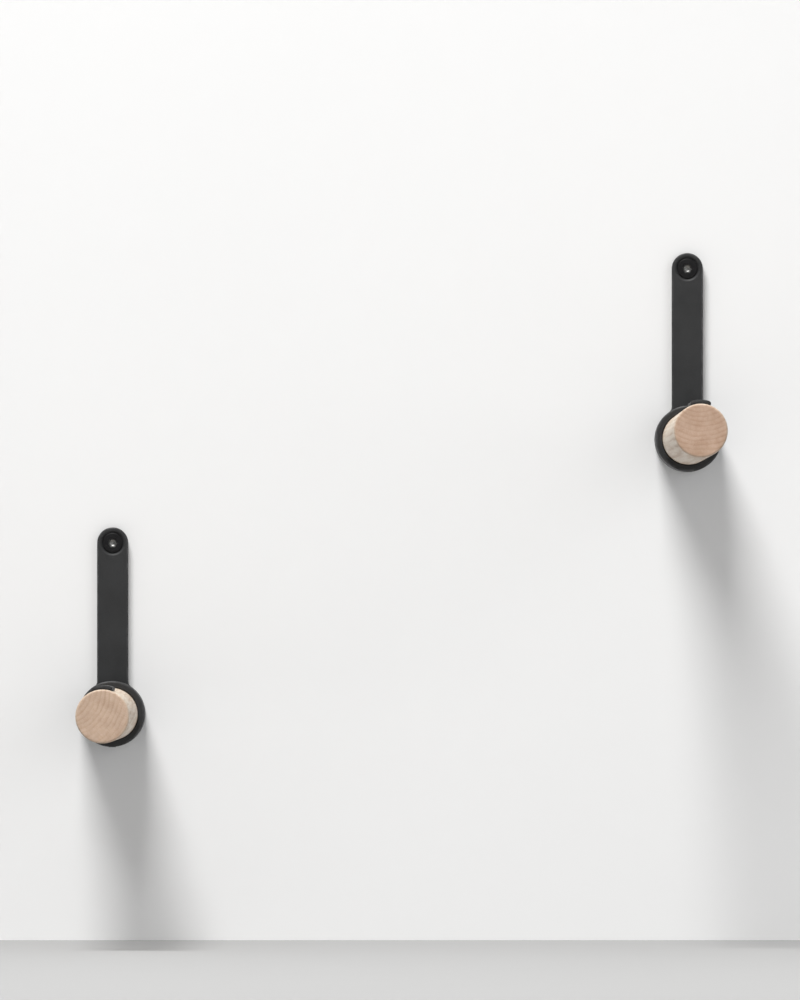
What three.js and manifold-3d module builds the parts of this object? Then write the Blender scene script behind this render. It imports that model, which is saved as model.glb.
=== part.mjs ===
// A bicycle wall rack: two separate, identical wall arms, one hung higher than the other so that a
// sloping top tube lies across both. Each arm is a steel wall plate with a round eye, a socket tube
// welded on the eye, a wooden peg in the socket, a rubber pad let into the peg's top, a grub screw
// that locks the peg, and two countersunk wood screws in nylon wall plugs.
//
// Millimetres, +Z up, +X to the right. The wall's face is the plane Y = 0 and the pegs stand out
// towards -Y. The origin is on the wall, midway between the two socket axes.

import * as THREE from 'three';
import { mergeVertices } from 'three/addons/utils/BufferGeometryUtils.js';
import Module from 'manifold-3d';

const wasm = await Module();
wasm.setup();

// Layout of the two arms on the wall
const ARM_SPACING = 333; // across, between the socket axes
const ARM_STEP = 159; // the right arm hangs this much higher
const GAP = 0.3; // between pieces that touch

// Wall plate: a flat strip with a round top that ends in a round eye
const PLATE_THICKNESS = 5;
const STRIP_WIDTH = 18;
const STRIP_TOP = 108; // top edge above the socket axis
const EYE_RADIUS = 19;
const INNER_CORNER_RADIUS = 4; // where the strip runs into the eye
const EDGE_BREAK = 0.5; // chamfer round both faces of the plate

// Socket tube, welded on the eye
const SOCKET_RADIUS = 19;
const SOCKET_BORE_RADIUS = 15.3;
const SOCKET_LENGTH = 40;
const MOUTH_CHAMFER = 0.8;
const BORE_CHAMFER = 0.6;

// Wooden peg
const PEG_RADIUS = 15;
const PEG_LENGTH = 400;
const PEG_CHAMFER = 1;

// Rubber pad, bonded in a shallow recess in the top of the peg
const PAD_LENGTH = 90;
const PAD_FROM_PEG_END = 4;
const PAD_HALF_ANGLE = THREE.MathUtils.degToRad(21);
const PAD_RECESS_DEPTH = 0.8;
const PAD_HEIGHT = 2.3; // the pad's crown above the peg's round
const PAD_EDGE_HEIGHT = 0.6; // its long edges above the peg's round

// Wood screw, 6 x 50, countersunk, with a hexagon recess
const SCREW_LENGTH = 50;
const SCREW_HEAD_RADIUS = 5.8;
const SCREW_HEAD_LAND = 0.4; // straight rim above the cone
const SCREW_SHANK_RADIUS = 2.3;
const SCREW_TIP_LENGTH = 5;
const SCREW_SINK = 0.4; // the head lies this far below the plate's face
const SCREW_RECESS_RADIUS = 2.9; // across the corners
const SCREW_RECESS_DEPTH = 2.4;
const SCREW_HOLE_RADIUS = 3.3;
const CONE_CLEARANCE = 0.45; // radial, between the head's cone and the countersink

// Nylon wall plug, 8 x 40, pushed a little below the wall's face
const PLUG_RADIUS = 4;
const PLUG_BORE_RADIUS = 2.7;
const PLUG_LENGTH = 40;
const PLUG_DEPTH = 2.5;
const PLUG_NOSE_RADIUS = 3.4;
const PLUG_NOSE_LENGTH = 3;

// Grub screw, M5 x 8, up through the underside of the socket into the peg
const GRUB_RADIUS = 2.5;
const GRUB_LENGTH = 8;
const GRUB_POINT = 1; // length and depth of its chamfered point
const GRUB_PROUD = 0.2; // its driven end stands out of the tube
const GRUB_RECESS_RADIUS = 1.45; // across the corners
const GRUB_RECESS_DEPTH = 2.5;
const GRUB_FROM_PLATE = 22; // along the socket from the plate's front face

// Facets round each kind of round piece
const PEG_FACETS = 64;
const SCREW_FACETS = 32;
const SMALL_FACETS = 24;
const HEXAGON = 6;

const UPPER_HOLE_Z = STRIP_TOP - STRIP_WIDTH / 2;
const PLATE_FRONT_Y = -PLATE_THICKNESS;
const SOCKET_BACK_Y = PLATE_FRONT_Y - GAP;
const SOCKET_MOUTH_Y = SOCKET_BACK_Y - SOCKET_LENGTH;
const PEG_BACK_Y = PLATE_FRONT_Y - GAP;
const PEG_FRONT_Y = PEG_BACK_Y - PEG_LENGTH;
const PAD_FRONT_Y = PEG_FRONT_Y + PAD_FROM_PEG_END;
const PAD_BACK_Y = PAD_FRONT_Y + PAD_LENGTH;
const GRUB_Y = PLATE_FRONT_Y - GRUB_FROM_PLATE;
const GRUB_OUTER_END = SOCKET_RADIUS + GRUB_PROUD;
const GRUB_INNER_END = GRUB_OUTER_END - GRUB_LENGTH;

// Booleans: a closed three.js geometry to a manifold solid, and back
function toSolid(geometry) {
  const bare = geometry.clone();
  bare.deleteAttribute('normal');
  bare.deleteAttribute('uv');
  const merged = mergeVertices(bare, 1e-5);
  return new wasm.Manifold(new wasm.Mesh({
    numProp: 3,
    vertProperties: new Float32Array(merged.attributes.position.array),
    triVerts: new Uint32Array(merged.index.array),
  }));
}

function toGeometry(solid) {
  const mesh = solid.getMesh();
  const geometry = new THREE.BufferGeometry();
  geometry.setAttribute('position', new THREE.BufferAttribute(mesh.vertProperties, 3));
  geometry.setIndex(new THREE.BufferAttribute(mesh.triVerts, 1));
  geometry.computeVertexNormals();
  return geometry;
}

function cut(geometry, ...cutters) {
  return toGeometry(cutters.reduce((rest, cutter) => rest.subtract(toSolid(cutter)), toSolid(geometry)));
}

// A body of revolution about the Y axis, from [radius, y] pairs that run towards +Y on its outside
function turned(profile, facets) {
  return new THREE.LatheGeometry(profile.map(([radius, y]) => new THREE.Vector2(radius, y)), facets);
}

// A prism about the Y axis between two heights
function prism(radius, fromY, toY, facets) {
  return turned([[0, fromY], [radius, fromY], [radius, toY], [0, toY]], facets);
}

// A shape drawn as seen from the front (x to the right, y up), pushed from backY out to frontY
function pushedOut(shape, backY, frontY, options) {
  const geometry = new THREE.ExtrudeGeometry(shape, { depth: backY - frontY, bevelEnabled: false, ...options });
  return geometry.rotateX(Math.PI / 2).translate(0, backY, 0);
}

// Outline of the wall plate, with the socket axis at the origin
function plateOutline() {
  const half = STRIP_WIDTH / 2;
  const cornerX = half + INNER_CORNER_RADIUS;
  const cornerY = Math.sqrt((EYE_RADIUS + INNER_CORNER_RADIUS) ** 2 - cornerX ** 2);
  const meet = Math.atan2(cornerY, cornerX); // where the inner corner's round meets the eye
  const shape = new THREE.Shape();
  shape.moveTo(half, cornerY);
  shape.lineTo(half, UPPER_HOLE_Z);
  shape.absarc(0, UPPER_HOLE_Z, half, 0, Math.PI, false);
  shape.lineTo(-half, cornerY);
  shape.absarc(-cornerX, cornerY, INNER_CORNER_RADIUS, 0, -meet, true);
  shape.absarc(0, 0, EYE_RADIUS, Math.PI - meet, meet, false);
  shape.absarc(cornerX, cornerY, INNER_CORNER_RADIUS, Math.PI + meet, Math.PI, true);
  return shape;
}

// The cutter for a countersunk screw hole in the plate
function countersink() {
  const beyond = 1;
  const coneTopY = PLATE_FRONT_Y + SCREW_SINK + SCREW_HEAD_LAND;
  const coneTopRadius = SCREW_HEAD_RADIUS + CONE_CLEARANCE;
  const mouthY = PLATE_FRONT_Y - beyond;
  const mouthRadius = coneTopRadius + (coneTopY - mouthY);
  const coneEndY = coneTopY + (coneTopRadius - SCREW_HOLE_RADIUS);
  const profile = [
    [0, mouthY],
    [mouthRadius, mouthY],
    [SCREW_HOLE_RADIUS, coneEndY],
    [SCREW_HOLE_RADIUS, beyond],
    [0, beyond],
  ];
  return turned(profile, SCREW_FACETS);
}

function wallPlate() {
  const blank = pushedOut(plateOutline(), -EDGE_BREAK, PLATE_FRONT_Y + EDGE_BREAK, {
    curveSegments: 14,
    bevelEnabled: true,
    bevelSegments: 1,
    bevelThickness: EDGE_BREAK,
    bevelSize: EDGE_BREAK,
    bevelOffset: -EDGE_BREAK,
  });
  return cut(blank, countersink(), countersink().translate(0, 0, UPPER_HOLE_Z));
}

function socketTube() {
  const tube = turned([
    [SOCKET_BORE_RADIUS + BORE_CHAMFER, SOCKET_MOUTH_Y],
    [SOCKET_RADIUS - MOUTH_CHAMFER, SOCKET_MOUTH_Y],
    [SOCKET_RADIUS, SOCKET_MOUTH_Y + MOUTH_CHAMFER],
    [SOCKET_RADIUS, SOCKET_BACK_Y],
    [SOCKET_BORE_RADIUS, SOCKET_BACK_Y],
    [SOCKET_BORE_RADIUS, SOCKET_MOUTH_Y + BORE_CHAMFER],
    [SOCKET_BORE_RADIUS + BORE_CHAMFER, SOCKET_MOUTH_Y],
  ], PEG_FACETS);
  return cut(tube, grubHole());
}

// The cutter for the grub screw's hole: through the tube's underside and on into the peg
function grubHole() {
  const hole = prism(GRUB_RADIUS + GAP, GRUB_INNER_END - GAP, SOCKET_RADIUS + 1, SMALL_FACETS);
  return hole.rotateX(-Math.PI / 2).translate(0, GRUB_Y, 0);
}

function peg() {
  const dowel = turned([
    [0, PEG_FRONT_Y],
    [PEG_RADIUS - PEG_CHAMFER, PEG_FRONT_Y],
    [PEG_RADIUS, PEG_FRONT_Y + PEG_CHAMFER],
    [PEG_RADIUS, PEG_BACK_Y - PEG_CHAMFER],
    [PEG_RADIUS - PEG_CHAMFER, PEG_BACK_Y],
    [0, PEG_BACK_Y],
  ], PEG_FACETS);
  return cut(dowel, padRecess(), grubHole());
}

// An arc-shaped bar over the top of the peg; its section's outer edge comes from a crown function
function saddleSection(innerRadius, halfAngle, crownRadius, edgeRadius) {
  const edgeRound = 0.25; // share of the half angle over which the crown falls to the edge
  const top = Math.PI / 2;
  const crownAngle = halfAngle * (1 - edgeRound);
  const at = (radius, angle) => [radius * Math.cos(angle), radius * Math.sin(angle)];
  const shape = new THREE.Shape();
  shape.absarc(0, 0, innerRadius, top + halfAngle, top - halfAngle, true);
  shape.lineTo(...at(edgeRadius, top - halfAngle));
  shape.quadraticCurveTo(...at(crownRadius, top - halfAngle), ...at(crownRadius, top - crownAngle));
  shape.absarc(0, 0, crownRadius, top - crownAngle, top + crownAngle, false);
  shape.quadraticCurveTo(...at(crownRadius, top + halfAngle), ...at(edgeRadius, top + halfAngle));
  shape.closePath();
  return shape;
}

function padRecess() {
  const floorRadius = PEG_RADIUS - PAD_RECESS_DEPTH;
  const sideGapAngle = GAP / PEG_RADIUS;
  const outside = PEG_RADIUS + PAD_HEIGHT;
  const section = saddleSection(floorRadius, PAD_HALF_ANGLE + sideGapAngle, outside, outside);
  return pushedOut(section, PAD_BACK_Y + GAP, PAD_FRONT_Y - GAP, { curveSegments: 8 });
}

function framePad() {
  const innerRadius = PEG_RADIUS - PAD_RECESS_DEPTH + GAP;
  const crown = PEG_RADIUS + PAD_HEIGHT;
  const section = saddleSection(innerRadius, PAD_HALF_ANGLE, crown, PEG_RADIUS + PAD_EDGE_HEIGHT);
  return pushedOut(section, PAD_BACK_Y, PAD_FRONT_Y, { curveSegments: 8 });
}

function woodScrew() {
  const headY = PLATE_FRONT_Y + SCREW_SINK;
  const coneY = headY + SCREW_HEAD_LAND;
  const tipY = headY + SCREW_LENGTH;
  const body = turned([
    [0, headY],
    [SCREW_HEAD_RADIUS, headY],
    [SCREW_HEAD_RADIUS, coneY],
    [SCREW_SHANK_RADIUS, coneY + (SCREW_HEAD_RADIUS - SCREW_SHANK_RADIUS)],
    [SCREW_SHANK_RADIUS, tipY - SCREW_TIP_LENGTH],
    [0, tipY],
  ], SCREW_FACETS);
  return cut(body, prism(SCREW_RECESS_RADIUS, headY - 1, headY + SCREW_RECESS_DEPTH, HEXAGON));
}

function wallPlug() {
  const endY = PLUG_DEPTH + PLUG_LENGTH;
  return turned([
    [PLUG_BORE_RADIUS, PLUG_DEPTH],
    [PLUG_RADIUS, PLUG_DEPTH],
    [PLUG_RADIUS, endY - PLUG_NOSE_LENGTH],
    [PLUG_NOSE_RADIUS, endY],
    [PLUG_BORE_RADIUS, endY],
    [PLUG_BORE_RADIUS, PLUG_DEPTH],
  ], SMALL_FACETS);
}

// Built along +Y with its driven end outermost, then turned to point down and out of the socket
function grubScrew() {
  const body = turned([
    [0, GRUB_INNER_END],
    [GRUB_RADIUS - GRUB_POINT, GRUB_INNER_END],
    [GRUB_RADIUS, GRUB_INNER_END + GRUB_POINT],
    [GRUB_RADIUS, GRUB_OUTER_END],
    [0, GRUB_OUTER_END],
  ], SMALL_FACETS);
  const recess = prism(GRUB_RECESS_RADIUS, GRUB_OUTER_END - GRUB_RECESS_DEPTH, GRUB_OUTER_END + 1, HEXAGON);
  return cut(body, recess).rotateX(-Math.PI / 2).translate(0, GRUB_Y, 0);
}

const FINISHES = {
  powder_coat: { color: 0x373839, roughness: 0.6, metalness: 0 },
  wood: { color: 0xc8a88c, roughness: 0.6, metalness: 0 },
  rubber: { color: 0x1c1c1d, roughness: 0.8, metalness: 0 },
  black_steel: { color: 0x232325, roughness: 0.4, metalness: 1 },
  nylon: { color: 0xa9acae, roughness: 0.5, metalness: 0 },
};

function piece(name, geometry, finish) {
  const mesh = new THREE.Mesh(geometry, new THREE.MeshStandardMaterial(FINISHES[finish]));
  mesh.name = name;
  return mesh;
}

function arm(side) {
  const group = new THREE.Group();
  group.add(piece(`${side}_wall_plate`, wallPlate(), 'powder_coat'));
  group.add(piece(`${side}_socket_tube`, socketTube(), 'powder_coat'));
  group.add(piece(`${side}_peg`, peg(), 'wood'));
  group.add(piece(`${side}_frame_pad`, framePad(), 'rubber'));
  group.add(piece(`${side}_grub_screw`, grubScrew(), 'black_steel'));
  for (const [place, height] of [['upper', UPPER_HOLE_Z], ['lower', 0]]) {
    const screw = piece(`${side}_${place}_screw`, woodScrew(), 'black_steel');
    const plug = piece(`${side}_${place}_wall_plug`, wallPlug(), 'nylon');
    screw.position.z = height;
    plug.position.z = height;
    group.add(screw, plug);
  }
  return group;
}

const leftArm = arm('left');
const rightArm = arm('right');
leftArm.position.set(-ARM_SPACING / 2, 0, -ARM_STEP / 2);
rightArm.position.set(ARM_SPACING / 2, 0, ARM_STEP / 2);

const group = new THREE.Group();
group.add(leftArm, rightArm);

export default group;
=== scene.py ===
import math
import bmesh
import bpy
from mathutils import Matrix, Vector


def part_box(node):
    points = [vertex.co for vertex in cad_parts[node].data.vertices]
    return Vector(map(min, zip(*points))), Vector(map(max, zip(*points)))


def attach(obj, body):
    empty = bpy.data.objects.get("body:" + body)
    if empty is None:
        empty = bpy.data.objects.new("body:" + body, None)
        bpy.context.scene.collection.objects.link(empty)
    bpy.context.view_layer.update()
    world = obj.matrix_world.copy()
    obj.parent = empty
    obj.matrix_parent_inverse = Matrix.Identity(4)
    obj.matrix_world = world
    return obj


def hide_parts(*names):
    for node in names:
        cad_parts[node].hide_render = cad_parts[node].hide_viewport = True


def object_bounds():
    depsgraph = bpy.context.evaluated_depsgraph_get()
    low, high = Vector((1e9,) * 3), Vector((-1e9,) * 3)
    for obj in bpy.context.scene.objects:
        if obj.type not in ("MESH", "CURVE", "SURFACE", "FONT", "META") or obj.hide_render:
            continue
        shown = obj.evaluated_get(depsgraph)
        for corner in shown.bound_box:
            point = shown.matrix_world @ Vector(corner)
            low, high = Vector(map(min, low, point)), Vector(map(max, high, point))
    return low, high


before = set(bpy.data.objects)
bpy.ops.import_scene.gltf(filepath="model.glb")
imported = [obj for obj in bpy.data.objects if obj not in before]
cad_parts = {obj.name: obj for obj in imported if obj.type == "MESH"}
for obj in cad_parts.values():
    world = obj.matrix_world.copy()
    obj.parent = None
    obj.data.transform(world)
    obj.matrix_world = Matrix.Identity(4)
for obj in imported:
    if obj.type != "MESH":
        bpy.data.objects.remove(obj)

# The looks of a bicycle wall rack: two wall arms, each a powder-coated plate and socket tube, a wooden
# peg with a rubber pad, a grub screw, and two wood screws in wall plugs. Pieces are built in the
# millimetres of their own arm, with the socket's axis at x = 0, z = 0 and the wall at y = 0, and are
# then placed in the frame. A ring's points go round the Y axis from +X towards +Z.

SIDES = ("left", "right")
MM = 0.001
FULL_TURN = 2 * math.pi
TOP = math.pi / 2  # the direction of +Z in a ring
CAD_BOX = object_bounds()


# ---------------------------------------------------------------- sizes, from the frame

def socket_axis(side):
    """Where an arm's socket axis meets the wall: x and z in metres."""
    low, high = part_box(f"{side}_socket_tube")
    return (low.x + high.x) / 2, (low.z + high.z) / 2


AXES = {side: socket_axis(side) for side in SIDES}


def arm_box(part):
    """The lowest and highest corners of the left arm's node, in millimetres of the arm."""
    x, z = AXES["left"]
    low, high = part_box(f"left_{part}")
    shift = Vector((x, 0, z))
    return (low - shift) / MM, (high - shift) / MM


PLATE_LOW, PLATE_HIGH = arm_box("wall_plate")
TUBE_LOW, TUBE_HIGH = arm_box("socket_tube")
PEG_LOW, PEG_HIGH = arm_box("peg")
PAD_LOW, PAD_HIGH = arm_box("frame_pad")
SCREW_LOW, SCREW_HIGH = arm_box("upper_screw")
PLUG_LOW, PLUG_HIGH = arm_box("upper_wall_plug")
GRUB_LOW, GRUB_HIGH = arm_box("grub_screw")

UPPER_SCREW_Z = (SCREW_LOW.z + SCREW_HIGH.z) / 2
SCREW_HEIGHTS = {"upper": UPPER_SCREW_Z, "lower": 0.0}
STRIP_HALF = PLATE_HIGH.z - UPPER_SCREW_Z
EYE_RADIUS = -PLATE_LOW.z
PLATE_FRONT = PLATE_LOW.y
TUBE_RADIUS = TUBE_HIGH.x
TUBE_MOUTH = TUBE_LOW.y
PEG_RADIUS = PEG_HIGH.x
PEG_FRONT = PEG_LOW.y
PEG_BACK = PEG_HIGH.y
PAD_FRONT = PAD_LOW.y
PAD_BACK = PAD_HIGH.y
PAD_CROWN = PAD_HIGH.z
HEAD_FACE = SCREW_LOW.y
HEAD_RADIUS = (SCREW_HIGH.x - SCREW_LOW.x) / 2
SCREW_TIP = SCREW_HIGH.y
PLUG_RADIUS = PLUG_HIGH.x
PLUG_MOUTH = PLUG_LOW.y
PLUG_END = PLUG_HIGH.y
GRUB_RADIUS = GRUB_HIGH.x
GRUB_Y = (GRUB_LOW.y + GRUB_HIGH.y) / 2
GRUB_OUTER = -GRUB_LOW.z
GRUB_INNER = -GRUB_HIGH.z

# Sizes that a box doesn't give
INNER_CORNER_RADIUS = 4.0
PLATE_EDGE_ROUND = 0.6
PLATE_BACK_ROUND = 0.3
COUNTERSINK_RADIUS = 7.05
SCREW_HOLE_RADIUS = 3.3
TUBE_BORE_RADIUS = 15.3
WELD_WIDTH = 3.4
WELD_GROOVE = 0.42
WELD_SCALE = 0.24
PEG_EDGE_ROUND = 1.1
PAD_HALF_ANGLE = math.radians(21.4)
PAD_RECESS_DEPTH = 0.8
PAD_SEAM = 0.12
RECESS_HALF_ANGLE = PAD_HALF_ANGLE + PAD_SEAM / PEG_RADIUS
RECESS_WALL = 0.02  # half the width of the recess's steep walls
PLUG_BORE_RADIUS = 2.7
PLUG_RIB_PITCH = 2.8
GRUB_HOLE_RADIUS = GRUB_RADIUS + 0.12


# ---------------------------------------------------------------- mesh helpers

def ring(radius, y, count, wear=0.0):
    """A ring round the Y axis and its wear; radius is a number or a function of the angle."""
    points = []
    for i in range(count):
        angle = FULL_TURN * i / count
        r = radius(angle) if callable(radius) else radius
        points.append((r * math.cos(angle), y, r * math.sin(angle)))
    return points, wear


def bridge(bm, near, far):
    for i in range(len(near)):
        bm.faces.new((near[i - 1], near[i], far[i], far[i - 1]))


def add_rows(bm, levels):
    """Adds a row of vertices for each level of points and wear, and bridges each row to the next."""
    wear = bm.verts.layers.float.get("wear") or bm.verts.layers.float.new("wear")
    rows = []
    for points, amount in levels:
        row = [bm.verts.new(p) for p in points]
        for v in row:
            v[wear] = amount
        rows.append(row)
    for near, far in zip(rows, rows[1:]):
        bridge(bm, near, far)
    return rows


def skin(rings, joined=False):
    """A closed bmesh through rings; its ends are capped, or else the last ring joins the first."""
    bm = bmesh.new()
    rows = add_rows(bm, rings)
    if joined:
        bridge(bm, rows[-1], rows[0])
    else:
        bm.faces.new(rows[0])
        bm.faces.new(rows[-1])
    return bm


def quarter_round(radius, steps):
    """(along, in) offsets round a quarter circle, from (0, radius) to (radius, 0)."""
    turns = [TOP * i / steps for i in range(steps + 1)]
    return [(radius * (1 - math.cos(a)), radius * (1 - math.sin(a))) for a in turns]


def smooth(mesh, sharp_degrees=38):
    for polygon in mesh.polygons:
        polygon.use_smooth = True
    mesh.set_sharp_from_angle(angle=math.radians(sharp_degrees))


def add_piece(side, part, bm, material, turn=Matrix.Identity(4)):
    """Places a bmesh in arm millimetres as the piece that stands for a CAD node."""
    x, z = AXES[side]
    bmesh.ops.recalc_face_normals(bm, faces=bm.faces)
    bm.transform(Matrix.Translation((x, 0, z)) @ Matrix.Scale(MM, 4) @ turn)
    name = f"{side}_{part}_detail"
    mesh = bpy.data.meshes.new(name)
    bm.to_mesh(mesh)
    bm.free()
    mesh.materials.append(material)
    smooth(mesh)
    piece = bpy.data.objects.new(name, mesh)
    bpy.context.scene.collection.objects.link(piece)
    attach(piece, "root")
    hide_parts(f"{side}_{part}")
    return piece


def drill_from_below(piece, side, top_z):
    """Cuts the grub screw's hole: straight up from under the socket to top_z, in arm millimetres."""
    x, z = AXES[side]
    facets = 48
    below = -TUBE_RADIUS - 2
    drill = skin([ring(GRUB_HOLE_RADIUS, below, facets), ring(GRUB_HOLE_RADIUS, top_z, facets)])
    bmesh.ops.recalc_face_normals(drill, faces=drill.faces)
    upright = Matrix.Translation((0, GRUB_Y, 0)) @ Matrix.Rotation(TOP, 4, "X")
    drill.transform(Matrix.Translation((x, 0, z)) @ Matrix.Scale(MM, 4) @ upright)
    mesh = bpy.data.meshes.new("drill")
    drill.to_mesh(mesh)
    drill.free()
    cutter = bpy.data.objects.new("drill", mesh)
    bpy.context.scene.collection.objects.link(cutter)
    hole = piece.modifiers.new("hole", "BOOLEAN")
    hole.operation = "DIFFERENCE"
    hole.solver = "EXACT"
    hole.object = cutter
    graph = bpy.context.evaluated_depsgraph_get()
    cut_mesh = bpy.data.meshes.new_from_object(piece.evaluated_get(graph))
    piece.modifiers.clear()
    piece.data = cut_mesh
    smooth(cut_mesh)
    bpy.data.objects.remove(cutter)


# ---------------------------------------------------------------- material helpers

class Finish:
    """A material whose nodes are added with few words; its texture space is the frame, in millimetres."""

    def __init__(self, name):
        self.material = bpy.data.materials.new(name)
        self.material.use_nodes = True
        self.nodes = self.material.node_tree.nodes
        self.shader = self.nodes["Principled BSDF"]
        coordinates = self.nodes.new("ShaderNodeTexCoord").outputs["Object"]
        self.place = self.vector("MULTIPLY", coordinates, (1 / MM, 1 / MM, 1 / MM))

    def put(self, socket, value):
        if isinstance(value, bpy.types.NodeSocket):
            self.material.node_tree.links.new(value, socket)
        else:
            socket.default_value = value

    def set(self, **values):
        """Sets or links the shader's own sockets; an underscore in a name stands for a space."""
        for name, value in values.items():
            self.put(self.shader.inputs[name.replace("_", " ")], value)

    def maths(self, operation, a, b=0.0, c=0.0):
        node = self.nodes.new("ShaderNodeMath")
        node.operation = operation
        for socket, value in zip(node.inputs, (a, b, c)):
            self.put(socket, value)
        return node.outputs[0]

    def vector(self, operation, a, b=(0, 0, 0)):
        node = self.nodes.new("ShaderNodeVectorMath")
        node.operation = operation
        self.put(node.inputs[0], a)
        self.put(node.inputs[1], b)
        return node.outputs["Value" if operation == "LENGTH" else "Vector"]

    def split(self, vector):
        node = self.nodes.new("ShaderNodeSeparateXYZ")
        self.put(node.inputs[0], vector)
        return node.outputs

    def join(self, x, y, z):
        node = self.nodes.new("ShaderNodeCombineXYZ")
        for socket, value in zip(node.inputs, (x, y, z)):
            self.put(socket, value)
        return node.outputs[0]

    def noise(self, size, detail=2.0, stretch=(1, 1, 1), place=None):
        """Noise with features of about size millimetres, longer by stretch along each axis."""
        scale = tuple(1 / (size * s) for s in stretch)
        node = self.nodes.new("ShaderNodeTexNoise")
        self.put(node.inputs["Vector"], self.vector("MULTIPLY", place or self.place, scale))
        node.inputs["Scale"].default_value = 1.0
        node.inputs["Detail"].default_value = detail
        return node.outputs["Fac"]

    def spread(self, value, low, high, to_low=0.0, to_high=1.0):
        """Maps low..high of a value to to_low..to_high and clamps it."""
        node = self.nodes.new("ShaderNodeMapRange")
        node.interpolation_type = "SMOOTHSTEP"
        for socket, number in zip(node.inputs, (value, low, high, to_low, to_high)):
            self.put(socket, number)
        return node.outputs[0]

    def mix(self, amount, a, b, blend="MIX"):
        node = self.nodes.new("ShaderNodeMix")
        node.data_type = "RGBA"
        node.blend_type = blend
        self.put(node.inputs["Factor"], amount)
        for socket, value in zip([s for s in node.inputs if s.type == "RGBA"], (a, b)):
            self.put(socket, value)
        return [s for s in node.outputs if s.type == "RGBA"][0]

    def attribute(self, name):
        node = self.nodes.new("ShaderNodeAttribute")
        node.attribute_name = name
        return node.outputs["Fac"]

    def bump(self, *layers):
        """Bump from (height, depth in millimetres) layers."""
        normal = None
        for height, depth in layers:
            node = self.nodes.new("ShaderNodeBump")
            node.inputs["Strength"].default_value = 1.0
            node.inputs["Distance"].default_value = depth * MM
            self.put(node.inputs["Height"], height)
            if normal is not None:
                self.put(node.inputs["Normal"], normal)
            normal = node.outputs["Normal"]
        self.set(Normal=normal)


def grey(value):
    return value, value, value, 1.0


# ---------------------------------------------------------------- materials

def wood(side, pith, drift, end_tones):
    """White-oiled beech: growth rings about a pith outside the peg, rays, pores and slow colour streaks.

    pith is in arm millimetres; drift is how far it wanders for each millimetre along the peg.
    """
    f = Finish(f"beech_{side}")
    axis_x, axis_z = (v / MM for v in AXES[side])
    x, y, z = f.split(f.place)
    sway = f.noise(26, 2, (1, 9, 1))
    wander = f.maths("MULTIPLY_ADD", sway, 3.2, f.maths("MULTIPLY", y, drift))
    across = f.maths("ADD", f.maths("SUBTRACT", x, axis_x + pith[0]), wander)
    upward = f.maths("SUBTRACT", z, axis_z + pith[1])
    reach = f.vector("LENGTH", f.join(across, upward, 0.0))
    turn = f.maths("ARCTAN2", upward, across)
    end = f.attribute("end")
    side_grain = f.maths("SUBTRACT", 1.0, end)

    # growth rings: pale early wood that darkens slowly to a thin late-wood line
    uneven = f.maths("MULTIPLY", f.noise(9, 1, (1, 12, 1)), 0.9)
    phase = f.maths("FRACT", f.maths("MULTIPLY_ADD", reach, 1 / 2.6, uneven))
    late = f.spread(phase, 0.35, 0.93)
    early = f.spread(phase, 0.93, 1.0, 1.0, 0.0)
    rings = f.maths("MULTIPLY", late, early)
    ring_show = f.maths("MULTIPLY", rings, f.spread(f.noise(7, 1, (1, 12, 1)), 0.3, 0.7, 0.35, 1.0))

    # rays: sheets that run out from the pith, thin across and a few millimetres tall along the peg
    ray_turn = f.maths("MULTIPLY", turn, 70)
    ray_space = f.join(ray_turn, f.maths("MULTIPLY", reach, 1 / 4.5), f.maths("MULTIPLY", y, 1 / 2.6))
    rays = f.spread(f.noise(1, 0, place=ray_space), 0.60, 0.74)

    pores = f.spread(f.noise(0.32, 0, (1, 16, 1)), 0.60, 0.74)
    streaks = f.spread(f.noise(2.4, 3, (1, 70, 1)), 0.38, 0.68)
    patches = f.spread(f.noise(9, 2, (1, 24, 1)), 0.3, 0.7)

    # the sides' pale, greyer tone is partly the wood's own colour and partly painted light, standing for
    # strong light from above on the peg's sides
    pale = f.mix(patches, (0.575, 0.480, 0.380, 1), (0.650, 0.565, 0.465, 1))
    # the end grain is darker and pinker than the sides: partly the wood's own colour, as end grain takes up
    # more oil, and partly painted shade, the darker copy beside the painted-light sides
    oiled_end_grain_and_painted_shade = f.mix(patches, *end_tones)
    colour = f.mix(end, pale, oiled_end_grain_and_painted_shade)
    for amount, strength, tint in (
        (streaks, f.maths("MULTIPLY_ADD", side_grain, 0.35, 0.25), (0.84, 0.74, 0.65, 1)),
        (ring_show, f.maths("MULTIPLY_ADD", side_grain, 0.25, 0.45), (0.72, 0.62, 0.53, 1)),
        (rays, f.maths("MULTIPLY_ADD", side_grain, 0.14, 0.22), (0.74, 0.62, 0.52, 1)),
        (pores, 0.35, (0.62, 0.50, 0.42, 1)),
    ):
        colour = f.mix(f.maths("MULTIPLY", amount, strength), colour, f.mix(1.0, colour, tint, "MULTIPLY"))
    dull = f.maths("MULTIPLY_ADD", end, 0.14, f.spread(streaks, 0.0, 1.0, 0.48, 0.58))
    f.set(Base_Color=colour, Roughness=dull, Specular_IOR_Level=0.35, Coat_Weight=0.05, Coat_Roughness=0.35)
    f.bump((rings, 0.012), (pores, -0.03), (f.noise(0.8, 3, (1, 14, 1)), 0.05))
    return f.material


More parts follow.
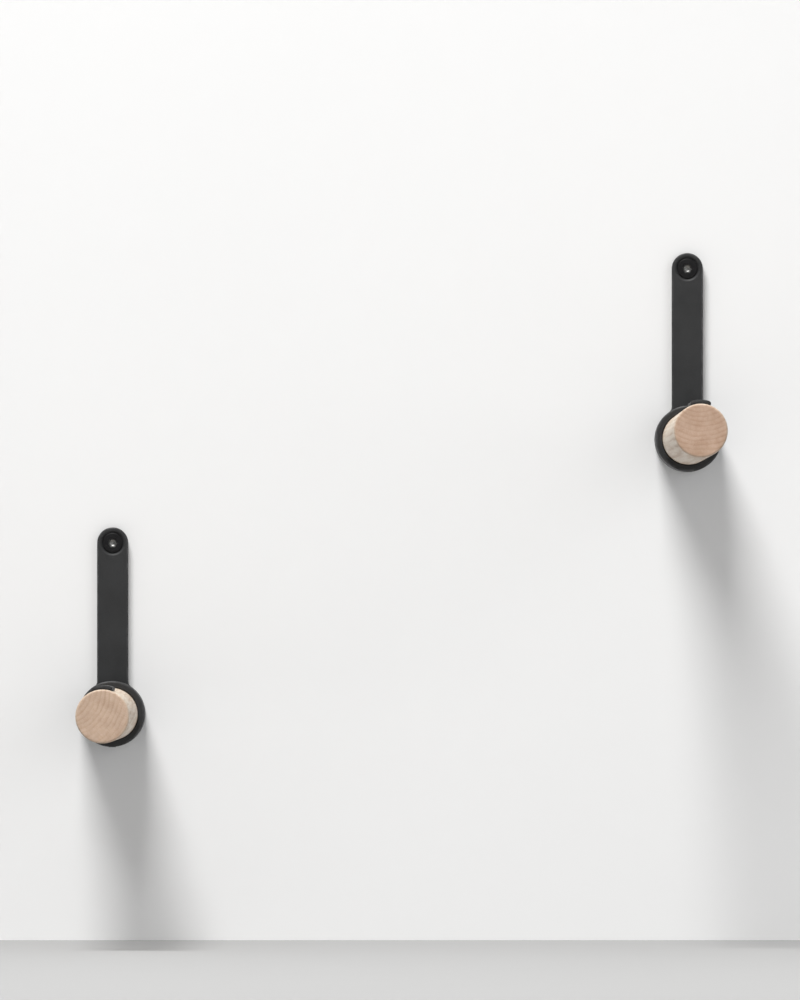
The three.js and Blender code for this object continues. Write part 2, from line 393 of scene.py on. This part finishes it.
def powder_coat():
    """Matt charcoal powder coat: fine leathery texture, a little thinner and paler on worn edges."""
    f = Finish("charcoal_powder_coat")
    wear = f.attribute("wear")
    cloud = f.noise(14, 3)
    grain = f.noise(0.55, 2)
    body = f.mix(f.spread(cloud, 0.3, 0.7), (0.0165, 0.0170, 0.0178, 1), (0.0215, 0.0220, 0.0229, 1))
    speckled = f.mix(f.spread(grain, 0.55, 0.75, 0.0, 0.35), body, (0.042, 0.042, 0.043, 1))
    rubbed = f.maths("MULTIPLY", wear, f.spread(f.noise(6, 5), 0.40, 0.65, 0.10, 0.60))
    f.set(Base_Color=f.mix(rubbed, speckled, (0.075, 0.075, 0.077, 1)))
    f.set(Roughness=f.maths("MULTIPLY_ADD", rubbed, -0.16, f.spread(cloud, 0.3, 0.7, 0.56, 0.64)))
    f.set(Specular_IOR_Level=0.42)
    f.bump((f.noise(1.6, 1), 0.03), (grain, 0.035))
    return f.material


def rubber():
    """Soft black rubber: a pebbled skin, with paler scuffs across the crown where frames have rested."""
    f = Finish("black_rubber")
    crown = f.attribute("wear")
    pebble = f.spread(f.noise(0.9, 1), 0.35, 0.65)
    scuffs = f.spread(f.noise(2.2, 4, (6, 1, 1)), 0.48, 0.70)
    scuffed = f.maths("MULTIPLY", crown, scuffs)
    blotch = f.mix(f.noise(6, 2), (0.0060, 0.0060, 0.0063, 1), (0.0095, 0.0095, 0.0100, 1))
    pebbled = f.mix(f.maths("MULTIPLY", pebble, 0.5), blotch, (0.0170, 0.0170, 0.0175, 1))
    f.set(Base_Color=f.mix(f.maths("MULTIPLY", scuffed, 0.65), pebbled, (0.042, 0.041, 0.039, 1)))
    f.set(Roughness=f.spread(scuffed, 0.0, 1.0, 0.62, 0.84), Specular_IOR_Level=0.28)
    f.bump((pebble, 0.09), (f.noise(3.5, 1), 0.06))
    return f.material


def black_steel():
    """Black phosphated steel that a driver has rubbed bare inside the recess and on the thread's crests."""
    f = Finish("black_phosphated_steel")
    wear = f.attribute("wear")
    blotch = f.noise(1.8, 3)
    bare = f.maths("MULTIPLY", wear, f.spread(f.noise(0.6, 2), 0.30, 0.55, 0.60, 1.0))
    dark = f.mix(blotch, (0.0040, 0.0040, 0.0045, 1), (0.0085, 0.0083, 0.0090, 1))
    f.set(Base_Color=f.mix(bare, dark, (0.38, 0.38, 0.37, 1)))
    f.set(Metallic=f.spread(bare, 0.1, 0.8, 0.0, 0.9), Specular_IOR_Level=0.22)
    f.set(Roughness=f.maths("MULTIPLY_ADD", bare, -0.06, f.spread(blotch, 0.3, 0.7, 0.46, 0.58)))
    f.bump((f.noise(0.35, 2), 0.015))
    return f.material


def nylon():
    """Moulded grey nylon, paler where the plug's ribs have been pressed into the wall."""
    f = Finish("grey_nylon")
    cloud = f.noise(5, 2)
    body = f.mix(cloud, (0.30, 0.31, 0.32, 1), (0.37, 0.38, 0.39, 1))
    f.set(Base_Color=f.mix(f.maths("MULTIPLY", f.attribute("wear"), 0.5), body, (0.56, 0.57, 0.58, 1)))
    f.set(Roughness=f.spread(cloud, 0.3, 0.7, 0.40, 0.52), Subsurface_Weight=0.12, Subsurface_Scale=0.001)
    f.bump((f.noise(0.9, 2), 0.02))
    return f.material


# ---------------------------------------------------------------- wall plate

def arc(centre_x, centre_z, radius, start, end, steps, inward=False):
    """Outline points (x, z, normal x, normal z) along an arc; inward is for a hollow corner."""
    points = []
    for i in range(steps):
        angle = start + (end - start) * i / steps
        nx, nz = math.cos(angle), math.sin(angle)
        flip = -1 if inward else 1
        points.append((centre_x + radius * nx, centre_z + radius * nz, flip * nx, flip * nz))
    return points


def plate_outline():
    """The plate's outline, anticlockwise as seen from the front, each point with its outward normal."""
    corner_x = STRIP_HALF + INNER_CORNER_RADIUS
    corner_z = math.sqrt((EYE_RADIUS + INNER_CORNER_RADIUS) ** 2 - corner_x ** 2)
    meet = math.atan2(corner_z, corner_x)
    length_steps = 24
    rise = UPPER_SCREW_Z - corner_z
    up = [corner_z + rise * i / length_steps for i in range(length_steps)]
    down = [UPPER_SCREW_Z - rise * i / length_steps for i in range(length_steps)]
    return (
        [(STRIP_HALF, z, 1.0, 0.0) for z in up]
        + arc(0, UPPER_SCREW_Z, STRIP_HALF, 0, math.pi, 48)
        + [(-STRIP_HALF, z, -1.0, 0.0) for z in down]
        + arc(-corner_x, corner_z, INNER_CORNER_RADIUS, 0, -meet, 10, inward=True)
        + arc(0, 0, EYE_RADIUS, math.pi - meet, FULL_TURN + meet, 120)
        + arc(corner_x, corner_z, INNER_CORNER_RADIUS, math.pi + meet, math.pi, 10, inward=True)
    )


def edge_levels(outline):
    """The plate's outer side from the front face, round both edges, to the back face."""
    def level(inset, y, amount):
        return [(x - nx * inset, y, z - nz * inset) for x, z, nx, nz in outline], amount

    hold = 0.5
    front_round = quarter_round(PLATE_EDGE_ROUND, 4)[::-1]
    back_round = quarter_round(PLATE_BACK_ROUND, 3)
    return (
        [level(PLATE_EDGE_ROUND + hold, PLATE_FRONT, 0.0)]
        + [level(inset, PLATE_FRONT + along, 1.0) for inset, along in front_round]
        + [level(0, PLATE_FRONT + PLATE_EDGE_ROUND + hold, 0.0)]
        + [level(0, -PLATE_BACK_ROUND - hold, 0.0)]
        + [level(inset, -along, 0.3) for inset, along in back_round]
        + [level(PLATE_BACK_ROUND + hold, 0.0, 0.0)]
    )


def hole_levels(height):
    """A countersunk hole from the front face, over its softened rim, down the cone and out of the back."""
    count = 72
    lip = 0.25
    cone_end = PLATE_FRONT + (COUNTERSINK_RADIUS - SCREW_HOLE_RADIUS)
    profile = [
        (COUNTERSINK_RADIUS + 0.6, PLATE_FRONT, 0.0),
        (COUNTERSINK_RADIUS + lip, PLATE_FRONT, 0.1),
        (COUNTERSINK_RADIUS + lip * 0.35, PLATE_FRONT + lip * 0.25, 0.3),
        (COUNTERSINK_RADIUS - lip * 0.5, PLATE_FRONT + lip * 0.8, 0.1),
        (COUNTERSINK_RADIUS - 1.2, PLATE_FRONT + 1.2, 0.0),
        (SCREW_HOLE_RADIUS, cone_end, 0.0),
        (SCREW_HOLE_RADIUS, -0.3, 0.0),
        (SCREW_HOLE_RADIUS + 0.2, 0.0, 0.3),
        (SCREW_HOLE_RADIUS + 0.7, 0.0, 0.0),
    ]
    levels = []
    for radius, y, amount in profile:
        points, _ = ring(radius, y, count)
        levels.append(([(x, y, z + height) for x, y, z in points], amount))
    return levels


def wall_plate(side, material):
    bm = bmesh.new()
    walls = [add_rows(bm, edge_levels(plate_outline()))]
    walls += [add_rows(bm, hole_levels(height)) for height in SCREW_HEIGHTS.values()]
    # the front face lies between the walls' first rows, and the back face between their last
    for end in (0, -1):
        loops = [rows[end] for rows in walls]
        edges = [bm.edges.get((row[i - 1], row[i])) for row in loops for i in range(len(row))]
        bmesh.ops.triangle_fill(bm, use_beauty=True, use_dissolve=False, edges=edges)
    return add_piece(side, "wall_plate", bm, material)


# ---------------------------------------------------------------- socket tube

def weld_radius(share):
    """The radius round the ground-flush weld bead, from its toe on the tube (0) to the eye (1).

    Overlapping scales, bowed back in the middle of the bead, as a torch leaves them.
    """
    scales = 50
    crown = math.sin(math.pi * share)

    def at(angle):
        scale = (angle * scales / FULL_TURN + 0.7 * crown) % 1.0
        return TUBE_RADIUS - WELD_GROOVE * (1 - crown) - WELD_SCALE * scale * crown

    return at


def socket_tube(side, material):
    count = 238  # leaves no line under the tube's middle, where the hole's facets would meet it
    mouth_round, bore_round, hold = 0.8, 0.5, 0.5
    weld_start = PLATE_FRONT - WELD_WIDTH
    weld_steps = 12
    rings = []
    for along, inset in quarter_round(mouth_round, 5):
        rings.append(ring(TUBE_RADIUS - inset, TUBE_MOUTH + along, count, 1.0))
    rings.append(ring(TUBE_RADIUS, TUBE_MOUTH + mouth_round + hold, count))
    # close rings where the grub screw's hole is cut, half a step off its middle for the same reason
    rings += [ring(TUBE_RADIUS, GRUB_Y + (i + 0.5) * 0.5, count) for i in range(-9, 9)]
    rings += [ring(TUBE_RADIUS, weld_start - gap, count) for gap in (0.6, 0.1)]
    for i in range(weld_steps + 1):
        share = i / weld_steps
        rings.append(ring(weld_radius(share), weld_start + WELD_WIDTH * share, count))
    rings.append(ring(TUBE_RADIUS - 2, PLATE_FRONT + 0.3, count))
    rings.append(ring(TUBE_BORE_RADIUS + 0.4, PLATE_FRONT, count))
    rings.append(ring(TUBE_BORE_RADIUS, PLATE_FRONT - 0.5, count))
    rings.append(ring(TUBE_BORE_RADIUS, TUBE_MOUTH + bore_round + hold, count))
    for along, inset in quarter_round(bore_round, 3)[::-1]:
        rings.append(ring(TUBE_BORE_RADIUS + inset, TUBE_MOUTH + along, count, 0.7))
    rings.append(ring(TUBE_BORE_RADIUS + bore_round + hold, TUBE_MOUTH, count))
    rings.append(ring(TUBE_RADIUS - mouth_round - hold, TUBE_MOUTH, count))
    piece = add_piece(side, "socket_tube", skin(rings, joined=True), material)
    drill_from_below(piece, side, -TUBE_BORE_RADIUS + 1)
    return piece


# ---------------------------------------------------------------- peg and pad

def peg_angles():
    """Angles round the peg, with a close pair of lines at each side of the pad's recess."""
    count = 160
    step = RECESS_WALL / PEG_RADIUS
    too_near = 0.004
    even = [FULL_TURN * i / count for i in range(count)]
    sides = [TOP + s * RECESS_HALF_ANGLE for s in (-1, 1)]
    spaced = [a for a in even if min(abs(a - side) for side in sides) > too_near]
    return sorted(spaced + [side + s * step for side in sides for s in (-1, 1)])


def peg(side, material):
    angles = peg_angles()
    recess_front = PAD_FRONT - PAD_SEAM
    recess_back = PAD_BACK + PAD_SEAM
    hold = 0.6

    def circle(radius, y, in_recess):
        points = []
        for a in angles:
            lowered = in_recess and abs(a - TOP) < RECESS_HALF_ANGLE
            r = PEG_RADIUS - PAD_RECESS_DEPTH if lowered else radius
            points.append((r * math.cos(a), y, r * math.sin(a)))
        return points

    steps = 6
    rounding = quarter_round(PEG_EDGE_ROUND, steps)
    end_grain = [1 - i / steps for i in range(steps + 1)]
    # radius, y, whether it crosses the recess, and how much end grain shows
    levels = [
        (PEG_RADIUS * 0.5, PEG_FRONT, False, 1.0),
        (PEG_RADIUS - PEG_EDGE_ROUND - hold, PEG_FRONT, False, 1.0),
    ]
    for (along, inset), amount in zip(rounding, end_grain):
        levels.append((PEG_RADIUS - inset, PEG_FRONT + along, False, amount))
    levels += [
        (PEG_RADIUS, PEG_FRONT + PEG_EDGE_ROUND + hold, False, 0.0),
        (PEG_RADIUS, recess_front - RECESS_WALL, False, 0.0),
        (PEG_RADIUS, recess_front + RECESS_WALL, True, 0.0),
        (PEG_RADIUS, recess_back - RECESS_WALL, True, 0.0),
        (PEG_RADIUS, recess_back + RECESS_WALL, False, 0.0),
        (PEG_RADIUS, PEG_BACK - PEG_EDGE_ROUND - hold, False, 0.0),
    ]
    for (along, inset), amount in zip(rounding[::-1], end_grain[::-1]):
        levels.append((PEG_RADIUS - inset, PEG_BACK - along, False, amount))
    levels.append((PEG_RADIUS - PEG_EDGE_ROUND - hold, PEG_BACK, False, 1.0))
    bm = skin([(circle(radius, y, in_recess), 0.0) for radius, y, in_recess, _ in levels])
    end = bm.verts.layers.float.new("end")
    bm.verts.ensure_lookup_table()
    for i, (_, _, _, amount) in enumerate(levels):
        for v in bm.verts[i * len(angles):(i + 1) * len(angles)]:
            v[end] = amount
    piece = add_piece(side, "peg", bm, material)
    drill_from_below(piece, side, -GRUB_INNER + 0.3)
    return piece


def pad_section(height_share):
    """The pad's cross-section and wear; height_share scales how far its crown stands off the peg."""
    floor = PEG_RADIUS - PAD_RECESS_DEPTH + 0.02
    edge_height = 0.35
    edge_round = 0.30
    top_steps = 40
    floor_steps = 12
    points = []
    for i in range(floor_steps + 1):
        angle = TOP + PAD_HALF_ANGLE * (1 - 2 * i / floor_steps)
        points.append((floor, angle, 0.0))
    for i in range(top_steps + 1):
        share = 1 - 2 * i / top_steps
        across = -math.sin(share * TOP)
        rim = min(1.0, (1 - abs(across)) / edge_round)
        rise = math.sqrt(max(0.0, 1 - (1 - rim) ** 2))
        crown = PAD_CROWN - PEG_RADIUS - edge_height
        height = (edge_height + crown * rise) * height_share
        points.append((PEG_RADIUS + height, TOP + PAD_HALF_ANGLE * across, rise))
    return points


def frame_pad(side, material):
    end_round = 1.6
    steps = 7
    stations = []
    for i in range(steps + 1):
        share = 1 - math.cos(TOP * i / steps)
        stations.append((end_round * share, 0.22 + 0.78 * math.sin(TOP * i / steps)))
    length = PAD_BACK - PAD_FRONT
    inner = [(end_round + (length - 2 * end_round) * i / 12, 1.0) for i in range(1, 12)]
    stations += inner + [(length - along, share) for along, share in stations[::-1]]
    sections = [(PAD_FRONT + along, pad_section(share)) for along, share in stations]
    outlines = [[(r * math.cos(a), y, r * math.sin(a)) for r, a, _ in section] for y, section in sections]
    bm = skin([(outline, 0.0) for outline in outlines])
    wear = bm.verts.layers.float["wear"]
    bm.verts.ensure_lookup_table()
    # only the crown is scuffed
    crowns = [rise for _, section in sections for _, _, rise in section]
    for v, rise in zip(bm.verts, crowns):
        v[wear] = rise
    return add_piece(side, "frame_pad", bm, material)


# ---------------------------------------------------------------- screws and plugs

def hexagon(corner_radius):
    """The radius round a hexagon with a corner on +X."""
    flat = corner_radius * math.cos(math.pi / 6)
    return lambda angle: flat / math.cos(angle % (math.pi / 3) - math.pi / 6)


def thread_radius(core, crest, pitch, y, strength):
    """The radius round a right-handed thread at one height; strength fades it in and out."""
    def at(angle):
        phase = (y / pitch + angle / FULL_TURN) % 1.0
        flank = max(0.0, 1 - abs(phase - 0.5) / 0.24)
        return core + (crest - core) * flank ** 0.8 * strength
    return at


def wood_screw(side, place, material):
    count = 60
    neck = 2.3
    shank_end = HEAD_FACE + 17
    taper = 8.0
    pitch = 3.0
    core, crest = 2.0, 3.0
    face = HEAD_FACE
    cone_end = face + 0.4 + HEAD_RADIUS - neck
    # the drill point at the recess's bottom, rubbed bare, then its six walls, the head and the shank
    rings = [
        ring(0.15, face + 2.95, count, 1.0),
        ring(1.85, face + 1.9, count, 1.0),
        ring(hexagon(2.1), face + 1.8, count, 0.2),
        ring(hexagon(2.75), face + 0.4, count, 0.2),
        ring(hexagon(2.82), face + 0.15, count, 0.1),
        ring(hexagon(2.95), face, count, 0.0),
        ring(3.5, face, count, 0.0),
        ring(HEAD_RADIUS - 0.6, face, count, 0.0),
        ring(HEAD_RADIUS - 0.2, face + 0.05, count, 0.0),
        ring(HEAD_RADIUS, face + 0.22, count, 0.0),
        ring(HEAD_RADIUS - 0.05, face + 0.42, count),
        ring(HEAD_RADIUS - 0.3, face + 0.7, count),
        ring(neck + 0.7, cone_end - 0.7, count),
        ring(neck + 0.15, cone_end + 0.1, count),
        ring(neck, cone_end + 1.0, count),
        ring(neck, shank_end - 1.2, count),
        ring(core + 0.1, shank_end - 0.3, count),
    ]
    y = shank_end
    rise = pitch / 13
    while y < SCREW_TIP - 0.4:
        fade_in = min(1.0, (y - shank_end) / pitch)
        point = min(1.0, (SCREW_TIP - y) / taper)
        slim = point ** 0.75
        radius = thread_radius(core * slim, crest * slim, pitch, y, fade_in)
        rings.append(ring(radius, y, count, 0.12))
        y += rise
    rings.append(ring(0.12, SCREW_TIP, count, 0.3))
    bm = skin(rings)
    bmesh.ops.translate(bm, verts=bm.verts, vec=(0, 0, SCREW_HEIGHTS[place]))
    return add_piece(side, f"{place}_screw", bm, material)


def grub_screw(side, material):
    """Built from its driven end towards +Y, then turned so that this end points down."""
    count = 48
    pitch = 0.8
    outer, inner = -GRUB_OUTER, -GRUB_INNER
    core = GRUB_RADIUS - 0.45
    rings = [
        ring(0.5, outer + 2.9, count, 0.2),
        ring(hexagon(1.45), outer + 2.5, count, 0.6),
        ring(hexagon(1.45), outer + 0.25, count, 0.8),
        ring(hexagon(1.65), outer, count, 0.4),
        ring(core, outer, count),
    ]
    y = outer + 0.25
    while y < inner - 1.0:
        rings.append(ring(thread_radius(core, GRUB_RADIUS, pitch, y, 1.0), y, count, 0.1))
        y += pitch / 10
    rings.append(ring(core, inner - 0.9, count))
    rings.append(ring(1.2, inner, count))
    rings.append(ring(0.4, inner - 0.5, count))
    upright = Matrix.Translation((0, GRUB_Y, 0)) @ Matrix.Rotation(TOP, 4, "X")
    return add_piece(side, "grub_screw", skin(rings), material, upright)


def rib_phase(y):
    """How far up a sawtooth rib of the plug this is, from 0 to 1."""
    return (y - PLUG_MOUTH) % PLUG_RIB_PITCH / PLUG_RIB_PITCH


def off_multiple(angle, spacing):
    """How far an angle is from the nearest multiple of spacing."""
    return abs((angle / spacing + 0.5) % 1.0 - 0.5) * spacing


def plug_radius(y):
    """The radius round a wall plug: a plain collar, sawtooth ribs, four fins and two expansion slots."""
    from_mouth = y - PLUG_MOUTH
    to_end = PLUG_END - y
    body = PLUG_RADIUS - 0.45
    collar = 2
    slot_half_angle = 0.11
    fin_half_angle = 0.09

    def at(angle):
        in_slot = off_multiple(angle, math.pi) < slot_half_angle and from_mouth > 8 and to_end > 3.5
        in_fin = off_multiple(angle, math.pi / 2) < fin_half_angle and 3 < from_mouth < 19
        if from_mouth < collar:
            return PLUG_RADIUS
        if in_slot:
            return PLUG_BORE_RADIUS + 0.35
        if in_fin:
            return PLUG_RADIUS
        nose = max(0.0, 1 - to_end / 4.0) * 0.75
        return body + 0.42 * rib_phase(y) - nose

    return at


def wall_plug(side, place, material):
    count = 120
    step = 0.35
    rings = [
        ring(PLUG_BORE_RADIUS + 0.5, PLUG_MOUTH, count, 0.2),
        ring(PLUG_RADIUS - 0.25, PLUG_MOUTH, count, 0.3),
        ring(PLUG_RADIUS, PLUG_MOUTH + 0.25, count, 0.4),
    ]
    y = PLUG_MOUTH + 0.6
    while y < PLUG_END - 0.3:
        rings.append(ring(plug_radius(y), y, count, rib_phase(y) ** 3))
        y += step
    rings.append(ring(PLUG_BORE_RADIUS + 0.3, PLUG_END, count, 0.2))
    rings.append(ring(PLUG_BORE_RADIUS, PLUG_END - 0.4, count))
    rings.append(ring(PLUG_BORE_RADIUS, PLUG_MOUTH + 0.6, count))
    bm = skin(rings, joined=True)
    bmesh.ops.translate(bm, verts=bm.verts, vec=(0, 0, SCREW_HEIGHTS[place]))
    return add_piece(side, f"{place}_wall_plug", bm, material)


# ---------------------------------------------------------------- the rack

# Each peg's own pith, drift and two end-grain tones
TIMBERS = {
    "left": ((-25.0, 15.0), 0.010, ((0.520, 0.380, 0.285, 1), (0.590, 0.440, 0.335, 1))),
    "right": ((5.0, 27.0), -0.008, ((0.475, 0.325, 0.235, 1), (0.540, 0.380, 0.285, 1))),
}


def build_rack():
    coat, pad, steel, plastic = powder_coat(), rubber(), black_steel(), nylon()
    for side in SIDES:
        wall_plate(side, coat)
        socket_tube(side, coat)
        peg(side, wood(side, *TIMBERS[side]))
        frame_pad(side, pad)
        grub_screw(side, steel)
        for place in SCREW_HEIGHTS:
            wood_screw(side, place, steel)
            wall_plug(side, place, plastic)


# ---------------------------------------------------------------- camera, stage and light

CAMERA_DISTANCE = 10.0
FRAME_ASPECT = 1000 / 800
WIDTH_IN_FRAME = 0.80  # the share of the picture's width that the rack takes
EYE_POINT = Vector((-0.022, -CAMERA_DISTANCE, -0.042))
SENSOR = 36.0
FLOOR_BELOW = 0.112  # the floor lies this far below the rack's lowest point
WALL_GAP = 0.4  # millimetres of air between the plates and the wall
OPENING_INSET = 0.5  # how far inside a plate's outline its opening in the wall is, in millimetres
STAGE_HALF = 20.0
WALL_TONE = 0.845
FLOOR_TONE = 0.35
SKY_STRENGTH = 0.30

# Soft lights: name, place, width and height, power in watts, and tint
LIGHTS = (
    ("key", (-0.75, -1.95, 3.45), (1.5, 1.05), 188, (1.0, 0.995, 0.985)),
    ("fill", (1.9, -2.4, 0.7), (1.8, 1.8), 12, (0.97, 0.985, 1.0)),
    ("back_fill", (0.4, 2.6, 1.5), (1.8, 1.8), 30, (1.0, 1.0, 1.0)),
)


def look_at(item, target):
    item.rotation_mode = "QUATERNION"
    item.rotation_quaternion = (Vector(target) - item.location).to_track_quat("-Z", "Y")


def add_camera():
    low, high = CAD_BOX
    data = bpy.data.cameras.new("camera")
    data.sensor_width = SENSOR
    picture_height = (high.x - low.x) / WIDTH_IN_FRAME * FRAME_ASPECT
    data.lens = SENSOR * CAMERA_DISTANCE / picture_height
    camera = bpy.data.objects.new("camera", data)
    camera.location = EYE_POINT
    look_at(camera, ((low.x + high.x) / 2, 0, (low.z + high.z) / 2))
    bpy.context.scene.collection.objects.link(camera)
    bpy.context.scene.camera = camera


def one_sided(name, tone):
    """A plain matt surface that shows only from its front, so that the rack's back can be seen too."""
    f = Finish(name)
    mottle = f.noise(130, 2)
    f.set(Base_Color=f.mix(mottle, grey(tone), grey(tone * 0.985)), Roughness=0.85)
    tree = f.material.node_tree
    through = f.nodes.new("ShaderNodeBsdfTransparent")
    choose = f.nodes.new("ShaderNodeMixShader")
    behind = f.nodes.new("ShaderNodeNewGeometry").outputs["Backfacing"]
    tree.links.new(behind, choose.inputs[0])
    tree.links.new(f.shader.outputs[0], choose.inputs[1])
    tree.links.new(through.outputs[0], choose.inputs[2])
    tree.links.new(choose.outputs[0], f.nodes["Material Output"].inputs["Surface"])
    return f.material


def stage_sheet(name, loops, material):
    """A flat sheet of the stage: the first loop is its border, and the others are holes in it."""
    bm = bmesh.new()
    for loop in loops:
        row = [bm.verts.new(p) for p in loop]
        for i in range(len(row)):
            bm.edges.new((row[i - 1], row[i]))
    bmesh.ops.triangle_fill(bm, use_beauty=True, use_dissolve=False, edges=bm.edges)
    mesh = bpy.data.meshes.new(name)
    bm.to_mesh(mesh)
    bm.free()
    mesh.materials.append(material)
    sheet = bpy.data.objects.new(name, mesh)
    bpy.context.scene.collection.objects.link(sheet)
    return sheet


def face_towards(sheet, direction):
    """Turns a flat sheet's front to a direction."""
    if sheet.data.polygons[0].normal.dot(Vector(direction)) < 0:
        sheet.data.flip_normals()


def build_stage():
    """A wall and a floor. Behind each plate is an opening in the wall, which lets light reach its back."""
    floor_z = CAD_BOX[0].z - FLOOR_BELOW
    wall_y = WALL_GAP * MM
    half = STAGE_HALF
    wall_corners = ((-half, floor_z), (half, floor_z), (half, half), (-half, half))
    wall_border = [(x, wall_y, z) for x, z in wall_corners]
    openings = []
    for axis_x, axis_z in AXES.values():
        outline = [(x - nx * OPENING_INSET, z - nz * OPENING_INSET) for x, z, nx, nz in plate_outline()]
        openings.append([(axis_x + x * MM, wall_y, axis_z + z * MM) for x, z in outline])
    wall = stage_sheet("wall", [wall_border] + openings, one_sided("white_wall", WALL_TONE))
    face_towards(wall, (0, -1, 0))
    floor_corners = ((-half, -half), (half, -half), (half, half), (-half, half))
    floor_border = [(x, y, floor_z) for x, y in floor_corners]
    floor = stage_sheet("floor", [floor_border], one_sided("pale_floor", FLOOR_TONE))
    face_towards(floor, (0, 0, 1))


def area_light(name, place, size, power, tint):
    data = bpy.data.lights.new(name, "AREA")
    data.shape = "RECTANGLE"
    data.size, data.size_y = size
    data.energy = power
    data.color = tint
    light = bpy.data.objects.new(name, data)
    light.location = place
    look_at(light, (CAD_BOX[0] + CAD_BOX[1]) / 2)
    light.visible_camera = False
    bpy.context.scene.collection.objects.link(light)


def light_the_scene():
    for light in LIGHTS:
        area_light(*light)
    world = bpy.data.worlds.new("studio")
    world.use_nodes = True
    sky = world.node_tree.nodes["Background"]
    sky.inputs["Color"].default_value = grey(1.0)
    sky.inputs["Strength"].default_value = SKY_STRENGTH
    bpy.context.scene.world = world
    bpy.context.scene.view_settings.view_transform = "Standard"


add_camera()
build_rack()
build_stage()
light_the_scene()
